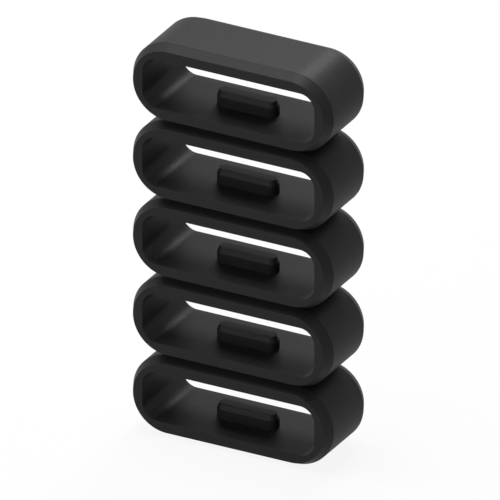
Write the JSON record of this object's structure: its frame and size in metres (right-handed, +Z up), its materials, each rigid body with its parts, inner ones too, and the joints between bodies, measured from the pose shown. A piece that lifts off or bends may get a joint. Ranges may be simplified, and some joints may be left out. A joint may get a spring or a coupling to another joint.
{
  "type": "watch strap keeper set",
  "caption": "Set of flat black silicone loops, stacked, each with bevelled rims and an inner peg, to hold the free end of a watch strap.",
  "frame": {"origin": "middle of the stack's base, where the lowest keeper rests", "axes": "+X across the strap, to the right in the picture; -Y towards the picture's front, along the strap; +Z up through the stack"},
  "size_m": [0.0264, 0.01, 0.0507],
  "materials": {
    "silicone": "matt, smooth moulded silicone with a faint bloom"
  },
  "bodies": {
    "loop_1": {"keeper_1": "silicone"},
    "loop_2": {"keeper_2": "silicone"},
    "loop_3": {"keeper_3": "silicone"},
    "loop_4": {"keeper_4": "silicone"},
    "loop_5": {"keeper_5": "silicone"}
  },
  "joints": [
    {"name": "keeper_2_lift", "type": "slide", "parent": "loop_1", "child": "loop_2", "axis": [0, 0, 1], "range_m": [0, 0.02]},
    {"name": "keeper_3_lift", "type": "slide", "parent": "loop_2", "child": "loop_3", "axis": [0, 0, 1], "range_m": [0, 0.02]},
    {"name": "keeper_4_lift", "type": "slide", "parent": "loop_3", "child": "loop_4", "axis": [0, 0, 1], "range_m": [0, 0.02]},
    {"name": "keeper_5_lift", "type": "slide", "parent": "loop_4", "child": "loop_5", "axis": [0, 0, 1], "range_m": [0, 0.02]}
  ]
}
